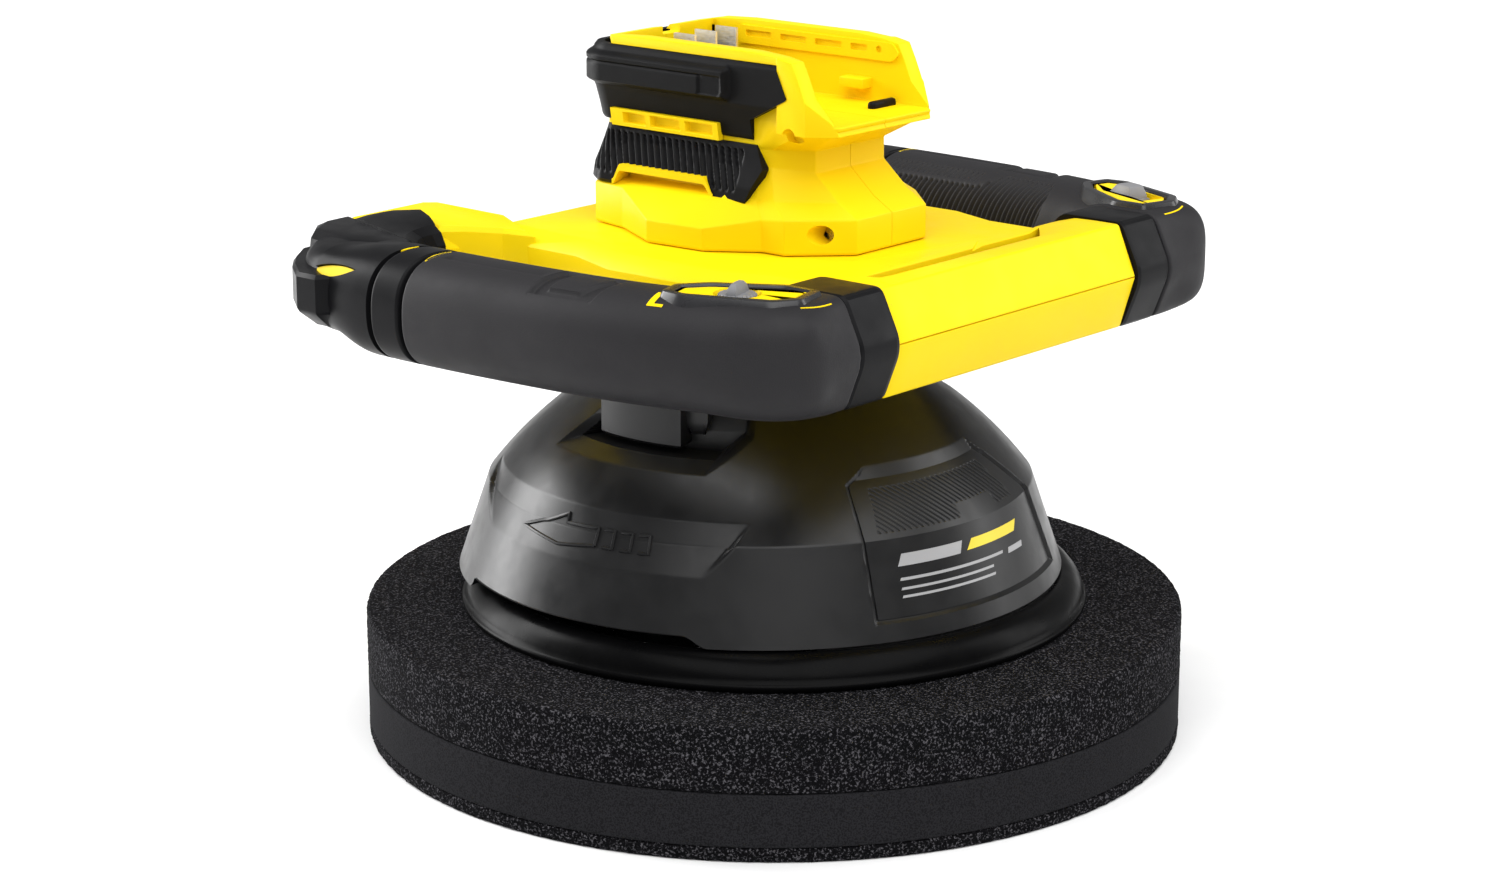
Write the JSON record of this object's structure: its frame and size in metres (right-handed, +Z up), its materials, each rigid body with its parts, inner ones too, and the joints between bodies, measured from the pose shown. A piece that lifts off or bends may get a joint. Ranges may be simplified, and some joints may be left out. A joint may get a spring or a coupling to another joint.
{
  "type": "cordless orbital polisher",
  "caption": "Two-handed cordless car polisher: foam pad on an orbiting backing plate under a domed shroud, side grips on a frame and a tower with a battery bay.",
  "frame": {"origin": "on the pad's working face, under the motor axis; the pad's own axis is 5.5 mm towards +X at rest", "axes": "+Z up along the motor shaft, +X towards the end that the battery slides in from, Y across, with Y = 0 as the mirror plane of the housing"},
  "size_m": [0.254, 0.254, 0.215],
  "materials": {
    "yellow_plastic": "satin moulded",
    "black_plastic": "fine satin",
    "gloss_black": "glossy moulded",
    "grip_rubber": "fine grain",
    "bumper_rubber": "smooth matte",
    "coarse_foam": "open cell",
    "dense_foam": "closed cell",
    "knob_grey": "satin",
    "blade_metal": "bright plated",
    "copper": "enamelled wire",
    "brass": "plain",
    "dark_ceramic": "matte",
    "circuit_board": "solder mask",
    "cast_aluminium": "die cast",
    "steel": "machined"
  },
  "bodies": {
    "housing": {"upper_frame_shell": "yellow_plastic", "lower_frame_shell": "yellow_plastic", "right_handle_core": "yellow_plastic", "left_handle_core": "yellow_plastic", "right_grip": "grip_rubber", "left_grip": "grip_rubber", "right_rear_cap": "black_plastic", "left_rear_cap": "black_plastic", "right_corner_guard": "black_plastic", "left_corner_guard": "black_plastic", "rear_collars": "black_plastic", "guard_inserts": "yellow_plastic", "right_front_sleeve": "black_plastic", "left_front_sleeve": "black_plastic", "right_bezel": "black_plastic", "left_bezel": "black_plastic", "right_control_tray": "yellow_plastic", "left_control_tray": "yellow_plastic", "dial_potentiometer": "black_plastic", "power_switch_body": "black_plastic", "tower_right_shell": "yellow_plastic", "tower_left_shell": "yellow_plastic", "right_bumper": "bumper_rubber", "left_bumper": "bumper_rubber", "right_vent_insert": "yellow_plastic", "left_vent_insert": "yellow_plastic", "right_intake_grille": "black_plastic", "left_intake_grille": "black_plastic", "terminal_block": "black_plastic", "terminal_blades": "blade_metal", "control_board": "circuit_board", "motor_shroud": "black_plastic", "label_plate": "black_plastic", "motor_bracket": "cast_aluminium", "motor_can": "steel", "motor_end_bell": "black_plastic", "motor_magnets": "dark_ceramic", "brush_holders": "brass", "carbon_brushes": "dark_ceramic", "motor_upper_bearing": "steel", "motor_lower_bearing": "steel", "tower_screws": "steel", "frame_screws": "steel", "motor_screws": "steel", "shroud_screws": "steel"},
    "rotor": {"rotor_shaft": "steel", "armature_core": "steel", "armature_windings": "copper", "commutator": "copper", "cooling_fan": "black_plastic", "eccentric_hub": "steel", "counterweight": "steel", "pin_screw": "steel"},
    "pad": {"backing_plate": "gloss_black", "pad_bearing": "steel", "foam_coarse_layer": "coarse_foam", "foam_dense_layer": "dense_foam", "foam_working_face": "coarse_foam"},
    "speed_dial": {"speed_dial": "knob_grey"},
    "power_slider": {"power_slider": "knob_grey"}
  },
  "joints": [
    {"name": "rotor_spin", "type": "hinge", "parent": "housing", "child": "rotor", "pos_m": [0, 0, 0.1], "axis": [0, 0, 1], "continuous": true},
    {"name": "pad_spin", "type": "hinge", "parent": "rotor", "child": "pad", "pos_m": [0.0055, 0, 0.05], "axis": [0, 0, 1], "continuous": true},
    {"name": "speed_dial_turn", "type": "hinge", "parent": "housing", "child": "speed_dial", "pos_m": [0.071, -0.0935, 0.158], "axis": [0, 0, 1], "range_deg": [-135, 135]},
    {"name": "power_slide", "type": "slide", "parent": "housing", "child": "power_slider", "axis": [0.9511, -0.309, 0], "range_m": [0, 0.006]}
  ]
}
